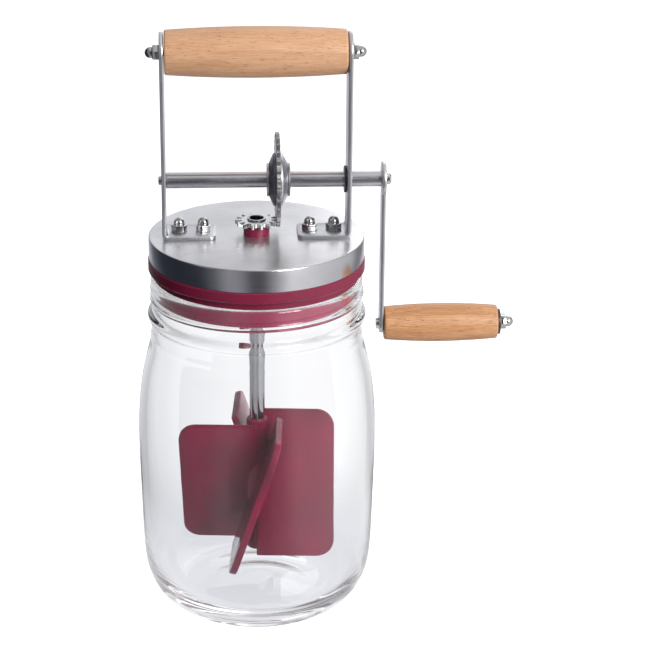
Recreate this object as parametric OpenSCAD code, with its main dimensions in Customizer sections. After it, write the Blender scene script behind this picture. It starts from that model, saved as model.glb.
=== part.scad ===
// Hand-cranked butter churn: a glass jar, a steel lid with its gear drive, and a four-bladed paddle.
// Millimetres, +Z up. The origin is on the jar's axis, on the surface the jar stands on.
// The crank shaft lies along X and the crank hangs on the +X side.

/* [Jar] */
// Height of the glass jar
jar_h = 179.5; // [140:0.5:220]
// How much wider the body of the jar is than its neck, on each side
jar_bulge = 7.6; // [4:0.1:14]
// Thickness of the glass
glass_t = 4; // [3:0.1:6]
// Height of the widest part of the body
belly_z = 97; // [75:1:120]
// Height of the rounded heel
heel_h = 28; // [18:1:36]
// Width of the rounded heel, measured in from the wall
heel_w = 22; // [14:1:28]
// Thickness of the glass floor at the heel
floor_t = 8.5; // [5:0.5:12]

/* [Lid] */
// Outside diameter of the steel lid
lid_d = 108; // [86:1:135]
// Height of the steel skirt
skirt_h = 11.7; // [8:0.1:16]
// Thickness of the lid sheet
lid_t = 0.8; // [0.5:0.1:1.5]
// Visible height of the seal below the skirt
seal_flange_h = 5.8; // [3:0.1:9]
// Height of the step that stands on the glass rim
seal_step_h = 3.6; // [2:0.1:6]
// Depth of the plug inside the neck
plug_depth = 11.5; // [6:0.5:18]

/* [Brackets and carry handle] */
// Thickness of the bracket sheet
bracket_t = 2; // [1.5:0.1:3]
// Width of each bracket
bracket_w = 20; // [14:1:26]
// Distance from the lid's edge in to the outer face of each bracket
bracket_inset = 7.2; // [4:0.1:12]
// Length of each bracket foot
foot_len = 26.5; // [24:0.5:32]
// Height of the carry handle's axis above the lid
handle_rise = 93; // [70:1:115]
// Largest radius of the carry handle
handle_mid_r = 12.5; // [10:0.1:15]
// Radius of the carry handle at its ends
handle_end_r = 11; // [8:0.1:14]

/* [Gears] */
// Teeth on the drive gear
gear_teeth = 29; // [20:1:40]
// Teeth on the pinion
pinion_teeth = 14; // [10:1:20]
// Distance from the crank shaft's axis down to the middle of the pinion
mesh_drop = 21.7; // [18:0.1:25]
// Distance the gear's teeth reach past the middle of the pinion
tooth_reach = 1.7; // [1.2:0.1:2.4]
// Thickness of the drive gear
gear_t = 2; // [1:0.1:3]
// Thickness of the pinion
pinion_t = 2.2; // [1:0.1:3]

/* [Crank] */
// Height of the crank shaft's axis above the lid
shaft_rise = 28.2; // [24:0.1:36]
// Diameter of the crank shaft
shaft_d = 8; // [6:0.1:10]
// Distance from the shaft's axis to the grip's axis
crank_len = 77; // [55:1:95]
// Thickness of the crank arm
crank_t = 2; // [1.5:0.1:3]
// Length of the wooden grip
grip_len = 58; // [40:1:75]
// Largest radius of the grip
grip_mid_r = 9.8; // [7:0.1:13]

/* [Paddle] */
// Distance from the paddle's axis to the tip of each blade
blade_reach = 40; // [25:0.5:42]
// Height of each blade, along its slope
blade_h = 77; // [50:1:90]
// Thickness of each blade
blade_t = 3.6; // [2:0.1:5]
// Slope of each blade away from upright, in degrees
blade_slope = 18; // [0:1:25]
// Turn of the blades about the drive tube, in degrees
blade_turn = -4; // [-20:1:20]
// Height of the middle of the paddle
paddle_mid_z = 64; // [55:1:80]
// Outside diameter of the drive tube
tube_d = 7.8; // [6:0.1:9]

/* [Hidden] */
$fn = 96;

// Gap between a turning piece and its bearing, on the radius.
run_gap = 0.05;
// Gap between two pieces that pass each other without bearing.
pass_gap = 0.3;
// Amount a cutting solid runs past the face it cuts.
cut = 1;

lid_r = lid_d / 2;
neck_r = lid_r - 0.5;
belly_r = neck_r + jar_bulge;
mouth_r = lid_r - 4.8;
wall_low_r = belly_r - 1.6;
heel_r = wall_low_r - heel_w;
neck_z = jar_h - 34;

rim_z = jar_h;
flange_z = rim_z + seal_step_h;
skirt_z = flange_z + seal_flange_h + 0.2;
lid_z = skirt_z + skirt_h;
web_t = 3;
web_z = lid_z - lid_t - web_t;

shaft_z = lid_z + shaft_rise;
handle_z = lid_z + handle_rise;
arm_x = lid_r - bracket_inset;
arm_in_x = arm_x - bracket_t;
screw_near_x = arm_x - 20.3;
screw_far_x = arm_x - 8.3;

// M4 hardware
m4_r = 2;
m4_hole_r = 2.1;
nut_across = 7;
nut_hex_h = 3.2;
nut_dome_r = 2.9;
nut_h = 7;
washer_r = 4.4;
washer_t = 0.5;

shaft_r = shaft_d / 2;
spigot_r = shaft_r * 0.55;
gear_x = mesh_drop * pinion_teeth / gear_teeth;
gear_tip_r = mesh_drop + tooth_reach;
gear_root_r = mesh_drop - pinion_t / 2 - 0.4;
tooth_pitch = 2 * PI * mesh_drop / gear_teeth;
pinion_z = shaft_z - mesh_drop;
pinion_tip_r = gear_x + 0.2;
pinion_root_r = gear_x - gear_t / 2 - 1.7;

crank_x = belly_r + 1.1;
crank_head_r = 8.5;
crank_shank_w = 10;
square_w = shaft_d * 0.62;
grip_x = crank_x + crank_t + 0.4;
grip_end_x = grip_x + grip_len;
grip_z = shaft_z - crank_len;
grip_end_r = grip_mid_r - 1.2;

tube_r = tube_d / 2;
tube_bore_r = tube_r - 0.5;
bushing_r = 6.5;
bushing_neck_r = 5;
hub_r = tube_r + 1.8;
paddle_top_z = paddle_mid_z + blade_h / 2 * cos(blade_slope);
paddle_low_z = paddle_mid_z - blade_h / 2 * cos(blade_slope);

steel = [0.74, 0.74, 0.76];
burgundy = [0.50, 0.11, 0.25];
beech = [0.84, 0.66, 0.48];

// ---------- shared shapes ----------

// Turns a piece drawn along Z so that it points along +X.
module along_x(x, z) {
  translate([x, 0, z]) rotate([0, 90, 0]) children();
}

// Places a piece at the four bracket screws.
module at_screws(z) {
  for (side = [-1, 1])
    for (x = [screw_near_x, screw_far_x])
      translate([side * x, 0, z]) children();
}

// A flat ring standing on Z = 0.
module ring(outer_r, inner_r, h) {
  difference() {
    cylinder(r = outer_r, h = h);
    translate([0, 0, -cut]) cylinder(r = inner_r, h = h + 2 * cut);
  }
}

// An M4 cap nut standing on Z = 0.
module cap_nut() {
  difference() {
    union() {
      cylinder(r = nut_across / sqrt(3), h = nut_hex_h, $fn = 6);
      cylinder(r = nut_dome_r, h = nut_h - nut_dome_r);
      translate([0, 0, nut_h - nut_dome_r]) sphere(r = nut_dome_r);
    }
    translate([0, 0, -cut]) cylinder(r = m4_r, h = 5 + cut);
  }
}

// Points of a quarter ellipse, from angle a0 to angle a1.
function ellipse_points(cx, cz, rx, rz, a0, a1, steps) =
  [for (i = [0:steps]) let (a = a0 + (a1 - a0) * i / steps) [cx + rx * cos(a), cz + rz * sin(a)]];

// Points of a barrel side between z0 and z1, widest in the middle.
function barrel_points(z0, z1, mid_r, end_r, steps) =
  [for (i = [0:steps]) let (u = 2 * i / steps - 1)
    [mid_r - (mid_r - end_r) * u * u, z0 + (z1 - z0) * (u + 1) / 2]];

// A turned wooden barrel with small chamfers and a bore through it.
module turned_wood(length, mid_r, end_r, bore_r) {
  chamfer = 1;
  difference() {
    rotate_extrude()
      polygon(concat([[0, 0], [end_r - chamfer, 0]],
                     barrel_points(chamfer * 0.8, length - chamfer * 0.8, mid_r, end_r, 14),
                     [[end_r - chamfer, length], [0, length]]));
    translate([0, 0, -cut]) cylinder(r = bore_r, h = length + 2 * cut);
  }
}

// One tooth as points, pointing along +X before it is turned to its angle.
function tooth_points(angle, root_r, tip_r, root_w, tip_w) =
  [for (p = [[root_r, -root_w / 2], [tip_r - 0.7, -tip_w / 2], [tip_r, -tip_w / 5],
             [tip_r, tip_w / 5], [tip_r - 0.7, tip_w / 2], [root_r, root_w / 2]])
    [p[0] * cos(angle) - p[1] * sin(angle), p[0] * sin(angle) + p[1] * cos(angle)]];

// A flat toothed disc standing on Z = 0, with its first tooth at the angle given.
module toothed_disc(teeth, root_r, tip_r, root_w, tip_w, thickness, bore_r, first_angle) {
  difference() {
    linear_extrude(height = thickness)
      polygon([for (i = [0:teeth - 1])
        for (p = tooth_points(first_angle + 360 * i / teeth, root_r, tip_r, root_w, tip_w)) p]);
    translate([0, 0, -cut]) cylinder(r = bore_r, h = thickness + 2 * cut);
  }
}

// ---------- jar ----------

function shoulder_points(offset, steps) =
  [for (i = [0:steps]) let (u = i / steps)
    [belly_r - offset - jar_bulge * 0.94 * u * u, belly_z + (neck_z - belly_z) * u]];

module glass_jar() {
  outside = concat(
    [[0, 4.5], [heel_r - 9, 3.4], [heel_r - 3.4, 0], [heel_r, 0]],
    ellipse_points(heel_r, heel_h, heel_w, heel_h, -84, 0, 10),
    shoulder_points(0, 10),
    [[neck_r + 0.1, neck_z + 4], [neck_r + 0.2, rim_z - 24.5], [neck_r + 1.2, rim_z - 22.8]],
    ellipse_points(neck_r + 0.9, rim_z - 19.6, 1.5, 2.6, -60, 60, 6),
    [[neck_r - 0.5, rim_z - 16], [neck_r - 0.6, rim_z - 14]],
    ellipse_points(neck_r - 0.7, rim_z - 12, 1, 1.4, -70, 70, 4),
    [[neck_r - 0.7, rim_z - 9.6], [neck_r - 0.7, rim_z - 8.4]],
    ellipse_points(neck_r - 0.8, rim_z - 6.6, 0.9, 1.3, -70, 70, 4),
    [[neck_r - 0.7, rim_z - 4.4], [neck_r, rim_z - 3.2], [neck_r, rim_z - 1.6],
     [neck_r - 0.5, rim_z - 0.5], [neck_r - 1.5, rim_z]]);
  inside = concat(
    [[mouth_r + 1.4, rim_z], [mouth_r + 0.4, rim_z - 0.5], [mouth_r, rim_z - 1.5],
     [mouth_r, rim_z - 22]],
    [for (i = [0:9]) shoulder_points(glass_t, 10)[10 - i]],
    ellipse_points(heel_r - 1, heel_h, heel_w - glass_t + 1, heel_h - floor_t, 0, -84, 9),
    [[heel_r - 4, floor_t], [0, floor_t + 1.5]]);
  color([0.85, 0.92, 0.94, 0.4])
    rotate_extrude() polygon(concat(outside, inside));
}

// ---------- lid ----------

module lid_cap() {
  color(steel)
    difference() {
      rotate_extrude()
        polygon([[0, lid_z], [lid_r - 1.4, lid_z], [lid_r - 0.5, lid_z - 0.4], [lid_r, lid_z - 1.4],
                 [lid_r, skirt_z], [lid_r - lid_t, skirt_z], [lid_r - lid_t, lid_z - 1.8],
                 [lid_r - 1.8, lid_z - lid_t], [0, lid_z - lid_t]]);
      translate([0, 0, lid_z - lid_t - cut]) cylinder(r = bushing_neck_r + 0.1, h = lid_t + 2 * cut);
      at_screws(lid_z - lid_t - cut) cylinder(r = m4_hole_r, h = lid_t + 2 * cut);
    }
}

module lid_seal() {
  plug_r = mouth_r - 0.4;
  side_r = lid_r - lid_t - 0.1;
  top = lid_z - lid_t;
  color(burgundy)
    difference() {
      rotate_extrude()
        polygon([[0, top], [side_r - 1.2, top], [side_r, top - 1.2], [side_r, skirt_z - 0.1],
                 [lid_r + 0.4, skirt_z - 0.2], [lid_r + 0.4, flange_z + 0.6],
                 [lid_r - 0.2, flange_z], [lid_r - 2.4, flange_z], [lid_r - 2.4, rim_z],
                 [plug_r, rim_z], [plug_r, rim_z - plug_depth + 1],
                 [plug_r - 1, rim_z - plug_depth], [plug_r - 2.8, rim_z - plug_depth],
                 [plug_r - 2.8, web_z], [0, web_z]]);
      translate([0, 0, web_z - cut]) cylinder(r = bushing_neck_r + 0.1, h = web_t + 2 * cut);
      at_screws(web_z - cut) cylinder(r = m4_hole_r, h = web_t + 2 * cut);
    }
}

// ---------- bearing in the middle of the lid ----------

bushing_top_z = pinion_z - pinion_t / 2 - 0.6;
bushing_low_z = web_z - 5;

module shaft_bushing() {
  color(burgundy)
    difference() {
      union() {
        translate([0, 0, lid_z]) cylinder(r = bushing_r, h = bushing_top_z - lid_z);
        translate([0, 0, bushing_low_z]) cylinder(r = bushing_neck_r, h = lid_z - bushing_low_z);
      }
      translate([0, 0, bushing_low_z - cut])
        cylinder(r = tube_r + run_gap, h = bushing_top_z - bushing_low_z + 2 * cut);
    }
}

module bushing_nut() {
  color(burgundy)
    translate([0, 0, web_z - 4])
      difference() {
        cylinder(r = 15 / sqrt(3), h = 4, $fn = 6);
        translate([0, 0, -cut]) cylinder(r = bushing_neck_r, h = 4 + 2 * cut);
      }
}

// ---------- brackets and carry handle ----------

// The bracket on the +X side, with a hole of the given radius for the crank shaft.
module bracket(shaft_hole_r) {
  bend_r = bracket_t + 1.5;
  foot_in_x = arm_x - foot_len;
  foot_corner_r = 3;
  difference() {
    union() {
      // upright arm
      translate([arm_in_x, 0, 0]) rotate([90, 0, 90])
        linear_extrude(height = bracket_t) {
          translate([-bracket_w / 2, lid_z + bend_r])
            square([bracket_w, handle_z - lid_z - bend_r]);
          translate([0, handle_z]) circle(r = bracket_w / 2);
        }
      // bend at the bottom of the arm
      translate([arm_x - bend_r, bracket_w / 2, lid_z + bend_r]) rotate([90, 0, 0])
        linear_extrude(height = bracket_w)
          intersection() {
            difference() {
              circle(r = bend_r);
              circle(r = bend_r - bracket_t);
            }
            translate([0, -bend_r]) square([bend_r, bend_r]);
          }
      // foot
      translate([0, 0, lid_z])
        linear_extrude(height = bracket_t) {
          translate([foot_in_x + foot_corner_r, -bracket_w / 2])
            square([foot_len - bend_r - foot_corner_r, bracket_w]);
          translate([foot_in_x, -bracket_w / 2 + foot_corner_r])
            square([foot_len - bend_r, bracket_w - 2 * foot_corner_r]);
          for (side = [-1, 1])
            translate([foot_in_x + foot_corner_r, side * (bracket_w / 2 - foot_corner_r)])
              circle(r = foot_corner_r);
        }
    }
    along_x(arm_in_x - cut, handle_z) cylinder(r = m4_hole_r, h = bracket_t + 2 * cut);
    along_x(arm_in_x - cut, shaft_z) cylinder(r = shaft_hole_r, h = bracket_t + 2 * cut);
    for (x = [screw_near_x, screw_far_x])
      translate([x, 0, lid_z - cut]) cylinder(r = m4_hole_r, h = bracket_t + 2 * cut);
  }
}

module bracket_right() {
  color(steel) bracket(shaft_r + run_gap);
}

module bracket_left() {
  color(steel) mirror([1, 0, 0]) bracket(spigot_r + run_gap);
}

nut_seat_z = lid_z + bracket_t;
screw_head_h = 2.2;

module bracket_screws() {
  color(steel)
    at_screws(web_z - washer_t - screw_head_h)
      difference() {
        union() {
          cylinder(r = 3.6, h = screw_head_h);
          cylinder(r = m4_r, h = nut_seat_z - web_z + washer_t + screw_head_h + 4.6);
        }
        translate([0, 0, -cut]) cylinder(r = 2.3 / sqrt(3), h = 1.3 + cut, $fn = 6);
      }
}

module bracket_washers() {
  color(steel) at_screws(web_z - washer_t) ring(washer_r, m4_hole_r, washer_t);
}

module cap_nuts() {
  color(steel) {
    at_screws(nut_seat_z) cap_nut();
    along_x(arm_x, handle_z) cap_nut();
    mirror([1, 0, 0]) along_x(arm_x, handle_z) cap_nut();
  }
}

module carry_handle_rod() {
  color(steel) along_x(-arm_x - 4.6, handle_z) cylinder(r = m4_r, h = 2 * arm_x + 9.2);
}

module carry_handle() {
  end_gap = 0.4;
  color(beech)
    along_x(-arm_in_x + end_gap, handle_z)
      turned_wood(2 * (arm_in_x - end_gap), handle_mid_r, handle_end_r, m4_r + run_gap);
}

// ---------- crank shaft and drive gear ----------

flange_r = 13.2;
collar_t = 0.9;
collar_r = 8.3;

module crank_shaft() {
  end_x = crank_x + crank_t - 0.2;
  color(steel)
    difference() {
      union() {
        along_x(-arm_in_x + 0.1, shaft_z) cylinder(r = shaft_r, h = arm_in_x - 0.1 + crank_x);
        along_x(-arm_x - 1.6, shaft_z) cylinder(r = spigot_r, h = bracket_t + 1.8);
        translate([crank_x - cut, -square_w / 2, shaft_z - square_w / 2])
          cube([end_x - crank_x + cut, square_w, square_w]);
      }
      along_x(end_x - 8, shaft_z) cylinder(r = 1.5, h = 8 + cut);
      // keyway under the gear
      translate([gear_x - 4, -1, shaft_z + shaft_r - 1.2]) cube([8, 2, 3]);
    }
}

module drive_gear() {
  // A gap between two teeth points straight down, where a pinion tooth sits.
  tooth_w = tooth_pitch * 0.42;
  color(steel)
    difference() {
      along_x(gear_x - gear_t / 2, shaft_z)
        toothed_disc(gear_teeth, gear_root_r, gear_tip_r, tooth_w * 1.25, tooth_w * 0.75, gear_t,
                     shaft_r, 180 / gear_teeth);
      translate([gear_x - 4, -1, shaft_z + shaft_r - 1.2]) cube([8, 2, 2.4]);
    }
}

// A dished steel disc clamped against the gear, standing on Z = 0 with its rim at the top.
module dished_flange(depth) {
  difference() {
    rotate_extrude()
      polygon([[0, 0], [flange_r - 5, 0], [flange_r - 1, depth * 0.6], [flange_r, depth * 0.74],
               [flange_r, depth], [0, depth]]);
    translate([0, 0, -cut]) cylinder(r = shaft_r, h = depth + 2 * cut);
  }
}

module key_cut() {
  translate([gear_x - 4, -1, shaft_z + shaft_r - 1.2]) cube([8, 2, 2.4]);
}

flange_left_t = 3.4;
flange_right_t = 4.2;

module gear_flange_left() {
  color(steel)
    difference() {
      along_x(gear_x - gear_t / 2 - flange_left_t, shaft_z) dished_flange(flange_left_t);
      key_cut();
    }
}

module gear_flange_right() {
  color(steel)
    difference() {
      mirror([1, 0, 0])
        along_x(-gear_x - gear_t / 2 - flange_right_t, shaft_z) dished_flange(flange_right_t);
      key_cut();
    }
}

module gear_collars() {
  color(steel) {
    along_x(gear_x - gear_t / 2 - flange_left_t - collar_t, shaft_z) ring(collar_r, shaft_r, collar_t);
    along_x(gear_x + gear_t / 2 + flange_right_t, shaft_z) ring(collar_r, shaft_r, collar_t);
  }
}

module gear_key() {
  key_len = gear_t + 2 * 1.8;
  color(steel)
    translate([gear_x - key_len / 2, -1, shaft_z + shaft_r - 1.2]) cube([key_len, 2, 2.4]);
}

module retaining_clip() {
  color([0.25, 0.25, 0.27]) along_x(arm_in_x - 1.3, shaft_z) ring(6.7, shaft_r, 1);
}

// ---------- crank and grip ----------

module crank_arm() {
  color(steel)
    difference() {
      translate([crank_x, 0, 0]) rotate([90, 0, 90])
        linear_extrude(height = crank_t) {
          translate([0, shaft_z]) circle(r = crank_head_r);
          translate([-crank_shank_w / 2, grip_z]) square([crank_shank_w, crank_len]);
          translate([0, grip_z]) circle(r = crank_shank_w / 2);
        }
      translate([crank_x - cut, -square_w / 2, shaft_z - square_w / 2])
        cube([crank_t + 2 * cut, square_w, square_w]);
      along_x(crank_x - cut, grip_z) cylinder(r = m4_r, h = crank_t + 2 * cut);
    }
}

module crank_end_screw() {
  color(steel)
    along_x(crank_x + crank_t, shaft_z)
      difference() {
        union() {
          cylinder(r = 4.4, h = 0.5);
          translate([0, 0, 0.5]) cylinder(r = 2.9, h = 1.5);
          translate([0, 0, 2]) cylinder(r1 = 2.9, r2 = 2, h = 0.8);
          translate([0, 0, -7.5]) cylinder(r = 1.5, h = 7.6);
        }
        translate([0, 0, 1.4]) cylinder(r = 2 / sqrt(3), h = 2, $fn = 6);
      }
}

module grip_bolt() {
  head_t = 1.7;
  color(steel) {
    along_x(crank_x - head_t, grip_z) cylinder(r = 3, h = head_t);
    along_x(crank_x - head_t / 2, grip_z)
      cylinder(r = m4_r, h = grip_end_x + 1.4 + 4.6 - crank_x + head_t / 2);
  }
}

module crank_grip() {
  color(beech)
    along_x(grip_x, grip_z) turned_wood(grip_len, grip_mid_r, grip_end_r, m4_r + run_gap);
}

module grip_washer() {
  color([0.2, 0.2, 0.22]) along_x(grip_end_x + 0.4, grip_z) ring(6.5, m4_r, 1);
}

module grip_cap_nut() {
  color(steel) along_x(grip_end_x + 1.4, grip_z) cap_nut();
}

// ---------- pinion, drive tube and paddle ----------

module pinion() {
  tooth_w = tooth_pitch * 0.38;
  color(steel)
    translate([0, 0, pinion_z - pinion_t / 2])
      toothed_disc(pinion_teeth, pinion_root_r, pinion_tip_r, tooth_w * 1.15, tooth_w * 0.85,
                   pinion_t, tube_r, 0);
}

module thrust_washer() {
  color(steel)
    translate([0, 0, bushing_top_z + 0.05]) ring(5.6, tube_r, 0.5);
}

module drive_tube() {
  top_z = pinion_z + pinion_t / 2;
  low_z = paddle_low_z + 6;
  color(steel)
    difference() {
      union() {
        translate([0, 0, low_z]) cylinder(r = tube_r, h = top_z - low_z);
        // top edge rolled out over the pinion
        translate([0, 0, top_z]) cylinder(r = tube_r + 0.8, h = 0.9);
      }
      translate([0, 0, low_z - cut]) cylinder(r = tube_bore_r, h = top_z - low_z + 3);
      translate([0, 0, paddle_top_z - 8]) rotate([90, 0, blade_turn])
        cylinder(r = 1, h = 2 * hub_r, center = true);
    }
}

module tube_clip() {
  color(steel) translate([0, 0, bushing_low_z - 1.3]) ring(6.2, tube_r, 1.2);
}

// One blade, standing across the X axis and sloped about it.
module blade() {
  corner_r = 9;
  translate([0, 0, paddle_mid_z]) rotate([90 - blade_slope, 0, 0])
    translate([0, 0, -blade_t / 2])
      linear_extrude(height = blade_t) {
        translate([0, -blade_h / 2]) square([blade_reach - corner_r, blade_h]);
        translate([0, -blade_h / 2 + corner_r]) square([blade_reach, blade_h - 2 * corner_r]);
        for (side = [-1, 1])
          translate([blade_reach - corner_r, side * (blade_h / 2 - corner_r)])
            circle(r = corner_r);
      }
}

module paddle() {
  color(burgundy)
    difference() {
      union() {
        for (turn = [0, 90, 180, 270]) rotate([0, 0, turn + blade_turn]) blade();
        translate([0, 0, paddle_low_z]) cylinder(r = hub_r, h = paddle_top_z - paddle_low_z);
      }
      translate([0, 0, paddle_low_z + 6]) cylinder(r = tube_r, h = paddle_top_z - paddle_low_z);
      translate([0, 0, paddle_top_z - 8]) rotate([90, 0, blade_turn])
        cylinder(r = 1, h = 4 * hub_r, center = true);
    }
}

module paddle_pin() {
  color(steel)
    translate([0, 0, paddle_top_z - 8]) rotate([90, 0, blade_turn])
      cylinder(r = 1, h = 2 * hub_r - 0.6, center = true);
}

glass_jar();
lid_cap();
lid_seal();
shaft_bushing();
bushing_nut();
bracket_left();
bracket_right();
bracket_screws();
bracket_washers();
cap_nuts();
carry_handle_rod();
carry_handle();
crank_shaft();
drive_gear();
gear_flange_left();
gear_flange_right();
gear_collars();
gear_key();
retaining_clip();
crank_arm();
crank_end_screw();
grip_bolt();
crank_grip();
grip_washer();
grip_cap_nut();
pinion();
thrust_washer();
drive_tube();
tube_clip();
paddle();
paddle_pin();
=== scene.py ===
import math

import bmesh
import bpy
from mathutils import Matrix, Vector


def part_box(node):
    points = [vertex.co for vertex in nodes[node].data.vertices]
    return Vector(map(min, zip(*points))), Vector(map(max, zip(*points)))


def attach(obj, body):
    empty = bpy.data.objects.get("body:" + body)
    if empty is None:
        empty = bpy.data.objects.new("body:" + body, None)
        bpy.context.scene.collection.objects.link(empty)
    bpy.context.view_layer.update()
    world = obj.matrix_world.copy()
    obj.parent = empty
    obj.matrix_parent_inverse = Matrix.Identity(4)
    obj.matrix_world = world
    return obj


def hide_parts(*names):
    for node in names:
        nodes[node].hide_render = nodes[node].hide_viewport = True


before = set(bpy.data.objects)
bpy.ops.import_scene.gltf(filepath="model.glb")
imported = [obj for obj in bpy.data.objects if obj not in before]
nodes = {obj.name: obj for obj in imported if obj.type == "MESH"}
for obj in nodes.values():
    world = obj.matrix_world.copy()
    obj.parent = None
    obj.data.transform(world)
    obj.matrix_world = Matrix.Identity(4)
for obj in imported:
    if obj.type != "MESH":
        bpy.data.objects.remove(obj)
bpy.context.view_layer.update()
mm = 0.001
scene = bpy.context.scene


def arcPoints(centreR, centreZ, radius, startDeg, endDeg, steps):
    points = []
    for i in range(steps + 1):
        angle = math.radians(startDeg + (endDeg - startDeg) * i / steps)
        points.append((centreR + radius * math.cos(angle), centreZ + radius * math.sin(angle)))
    return points


def fromCorner(radius, height, points):
    # each point is given as how far in, and how far up, it lies from the corner
    return [(radius - inset, height + rise) for inset, rise in points]


def spinProfile(bm, points, steps, closed=False):
    # points are (radius, height) in millimetres, spun about Z
    verts = [bm.verts.new((r * mm, 0, z * mm)) for r, z in points]
    pairs = list(zip(verts, verts[1:]))
    if closed:
        pairs.append((verts[-1], verts[0]))
    edges = [bm.edges.new(pair) for pair in pairs]
    bmesh.ops.spin(bm, geom=verts + edges, cent=(0, 0, 0), axis=(0, 0, 1),
                   angle=math.tau, steps=steps, use_merge=True)
    bmesh.ops.remove_doubles(bm, verts=bm.verts, dist=1e-7)


def bevelSharp(bm, width, segments, angleDeg=30):
    sharp = [e for e in bm.edges
             if len(e.link_faces) == 2 and e.calc_face_angle() > math.radians(angleDeg)]
    bmesh.ops.bevel(bm, geom=sharp, offset=width * mm, offset_type="OFFSET", segments=segments,
                    profile=0.5, affect="EDGES", clamp_overlap=True, material=-1)


def turned(degrees, axis):
    return Matrix.Rotation(math.radians(degrees), 4, axis)


def layAlongX(bm, x, z):
    # a shape drawn along Z is turned to run along +X from (x, 0, z)
    turn = Matrix.Translation((x * mm, 0, z * mm)) @ turned(90, "Y")
    bmesh.ops.transform(bm, matrix=turn, verts=bm.verts)


def appendBmesh(target, source, matrix):
    # copies source into target through a temporary mesh
    temp = bpy.data.meshes.new("temp")
    source.to_mesh(temp)
    temp.transform(matrix)
    target.from_mesh(temp)
    bpy.data.meshes.remove(temp)


def makePiece(bm, name, body, materials, replaced, smoothDeg=35):
    bmesh.ops.recalc_face_normals(bm, faces=bm.faces)
    mesh = bpy.data.meshes.new(name)
    bm.to_mesh(mesh)
    bm.free()
    for material in materials:
        mesh.materials.append(material)
    mesh.shade_smooth()
    mesh.set_sharp_from_angle(angle=math.radians(smoothDeg))
    piece = bpy.data.objects.new(name, mesh)
    scene.collection.objects.link(piece)
    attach(piece, body)
    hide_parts(*replaced)
    return piece


white = (1, 1, 1)
unstretched = (1, 1, 1)
noiseRoughness = 0.6
noiseSpan = (0.3, 0.7)  # nearly all of a noise's values lie between these


def newMaterial(name):
    material = bpy.data.materials.new(name)
    material.use_nodes = True
    tree = material.node_tree
    return material, tree, tree.nodes["Principled BSDF"]


def addNode(tree, kind, **settings):
    node = tree.nodes.new(kind)
    for key, value in settings.items():
        setattr(node, key, value)
    return node


def stretchedNoise(tree, scale, stretch, detail, turn=(0, 0, 0)):
    coords = addNode(tree, "ShaderNodeTexCoord")
    mapping = addNode(tree, "ShaderNodeMapping")
    mapping.inputs["Scale"].default_value = stretch
    mapping.inputs["Rotation"].default_value = turn
    noise = addNode(tree, "ShaderNodeTexNoise")
    noise.inputs["Scale"].default_value = scale
    noise.inputs["Detail"].default_value = detail
    noise.inputs["Roughness"].default_value = noiseRoughness
    tree.links.new(coords.outputs["Object"], mapping.inputs["Vector"])
    tree.links.new(mapping.outputs["Vector"], noise.inputs["Vector"])
    return noise


def colourRamp(tree, source, positions, colours):
    ramp = addNode(tree, "ShaderNodeValToRGB")
    elements = ramp.color_ramp.elements
    while len(elements) < len(positions):
        elements.new(0.5)
    for element, position, colour in zip(elements, positions, colours):
        element.position = position
        element.color = (*colour, 1)
    tree.links.new(source, ramp.inputs["Fac"])
    return ramp.outputs["Color"]


def rangeMap(tree, source, low, high, span=noiseSpan):
    remap = addNode(tree, "ShaderNodeMapRange")
    remap.inputs["From Min"].default_value = span[0]
    remap.inputs["From Max"].default_value = span[1]
    remap.inputs["To Min"].default_value = low
    remap.inputs["To Max"].default_value = high
    tree.links.new(source, remap.inputs["Value"])
    return remap.outputs["Result"]


def addBump(tree, shader, source, strength, depth):
    bump = addNode(tree, "ShaderNodeBump")
    bump.inputs["Strength"].default_value = strength
    bump.inputs["Distance"].default_value = depth * mm
    tree.links.new(source, bump.inputs["Height"])
    tree.links.new(bump.outputs["Normal"], shader.inputs["Normal"])


def brushedSteel(name, look):
    # fine noise drawn out along the brush marks breaks up the shine, a wide one shifts the tone
    material, tree, shader = newMaterial(name)
    shader.inputs["Metallic"].default_value = 1
    brush = stretchedNoise(tree, look["brushScale"], look["brushStretch"], detail=8)
    cloud = stretchedNoise(tree, look["cloudScale"], unstretched, detail=3)
    shade = colourRamp(tree, cloud.outputs["Fac"], noiseSpan, (look["darkColour"], look["lightColour"]))
    tree.links.new(shade, shader.inputs["Base Color"])
    tree.links.new(rangeMap(tree, brush.outputs["Fac"], *look["roughness"]), shader.inputs["Roughness"])
    if look.get("anisotropy"):
        shader.inputs["Anisotropic"].default_value = look["anisotropy"]
        shader.inputs["Anisotropic Rotation"].default_value = look["anisotropyTurn"]
        tangent = addNode(tree, "ShaderNodeTangent", direction_type="RADIAL", axis=look["tangentAxis"])
        tree.links.new(tangent.outputs["Tangent"], shader.inputs["Tangent"])
    addBump(tree, shader, brush.outputs["Fac"], look["bump"], look["bumpDepth"])
    return material


steelLook = {
    "darkColour": (0.48, 0.48, 0.51), "lightColour": (0.59, 0.59, 0.62),
    "roughness": (0.22, 0.38), "brushScale": 60, "brushStretch": (1, 30, 30),
    "cloudScale": 25, "bump": 0.25, "bumpDepth": 0.02,
}
lidTopSteel = brushedSteel("lidTopSteel", dict(
    steelLook, brushStretch=(0.6, 40, 1), roughness=(0.25, 0.37), bump=0.12, cloudScale=16,
    darkColour=(0.56, 0.56, 0.58), lightColour=(0.86, 0.86, 0.88),
    anisotropy=0.7, anisotropyTurn=0.25, tangentAxis="Y"))
skirtSteel = brushedSteel("skirtSteel", dict(
    steelLook, brushStretch=(0.4, 0.4, 40), roughness=(0.18, 0.28), bump=0.12,
    anisotropy=0.6, anisotropyTurn=0.25, tangentAxis="Z"))
shaftSteel = brushedSteel("shaftSteel", dict(steelLook, brushStretch=(1, 40, 40), roughness=(0.16, 0.3)))
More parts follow.
